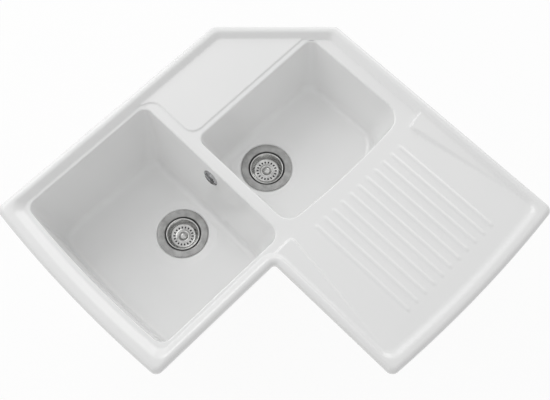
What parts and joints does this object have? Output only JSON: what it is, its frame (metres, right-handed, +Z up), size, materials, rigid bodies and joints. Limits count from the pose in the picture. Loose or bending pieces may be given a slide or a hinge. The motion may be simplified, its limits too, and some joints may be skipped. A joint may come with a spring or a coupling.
{
  "type": "corner kitchen sink",
  "caption": "Corner kitchen sink in white glazed fireclay with a main bowl, a half bowl, a ribbed drainer, a tap ledge, lift-out basket strainers, an overflow and its waste pipework.",
  "frame": {"origin": "on the worktop surface, at the middle of the rim seat behind the cut-off wall corner", "axes": "+X along the wall of the drainer wing, -Y along the wall of the main bowl wing, +Z up"},
  "size_m": [0.813, 0.813, 0.41],
  "materials": {
    "glazed_body": "glossy white glaze",
    "strainer_steel": "satin",
    "basket_steel": "polished",
    "knob_steel": "polished",
    "stopper_rubber": "matte",
    "seal_rubber": "matte",
    "bolt_steel": "bright zinc",
    "insert_brass": "machined",
    "rosette_chrome": "polished",
    "hose_plastic": "satin",
    "clip_steel": "bright zinc",
    "nut_plastic": "moulded",
    "pipe_plastic": "moulded"
  },
  "bodies": {
    "sink": {"big_clamp_bolt": "bolt_steel", "big_cup_gasket": "seal_rubber", "big_nut_insert": "insert_brass", "big_outlet_washer": "seal_rubber", "big_strainer_cup": "strainer_steel", "big_waste_body": "pipe_plastic", "big_waste_gasket": "seal_rubber", "hose_clips": "clip_steel", "link_pipe": "pipe_plastic", "outlet_nuts": "nut_plastic", "outlet_pipe": "pipe_plastic", "overflow_elbow": "pipe_plastic", "overflow_gasket": "seal_rubber", "overflow_hose": "hose_plastic", "overflow_rosette": "rosette_chrome", "overflow_screw": "bolt_steel", "pipe_nuts": "nut_plastic", "pipe_washers": "seal_rubber", "sink_body": "glazed_body", "small_clamp_bolt": "bolt_steel", "small_cup_gasket": "seal_rubber", "small_elbow": "pipe_plastic", "small_nut_insert": "insert_brass", "small_outlet_washer": "seal_rubber", "small_strainer_cup": "strainer_steel", "small_waste_body": "pipe_plastic", "small_waste_gasket": "seal_rubber", "waste_tee": "pipe_plastic"},
    "big_basket_unit": {"big_basket": "basket_steel", "big_basket_knob": "knob_steel", "big_basket_stopper": "stopper_rubber"},
    "small_basket_unit": {"small_basket": "basket_steel", "small_basket_knob": "knob_steel", "small_basket_stopper": "stopper_rubber"}
  },
  "joints": [
    {"name": "big_basket_lift", "type": "slide", "parent": "sink", "child": "big_basket_unit", "axis": [0, 0, 1], "range_m": [0, 0.25]},
    {"name": "small_basket_lift", "type": "slide", "parent": "sink", "child": "small_basket_unit", "axis": [0, 0, 1], "range_m": [0, 0.2]}
  ]
}
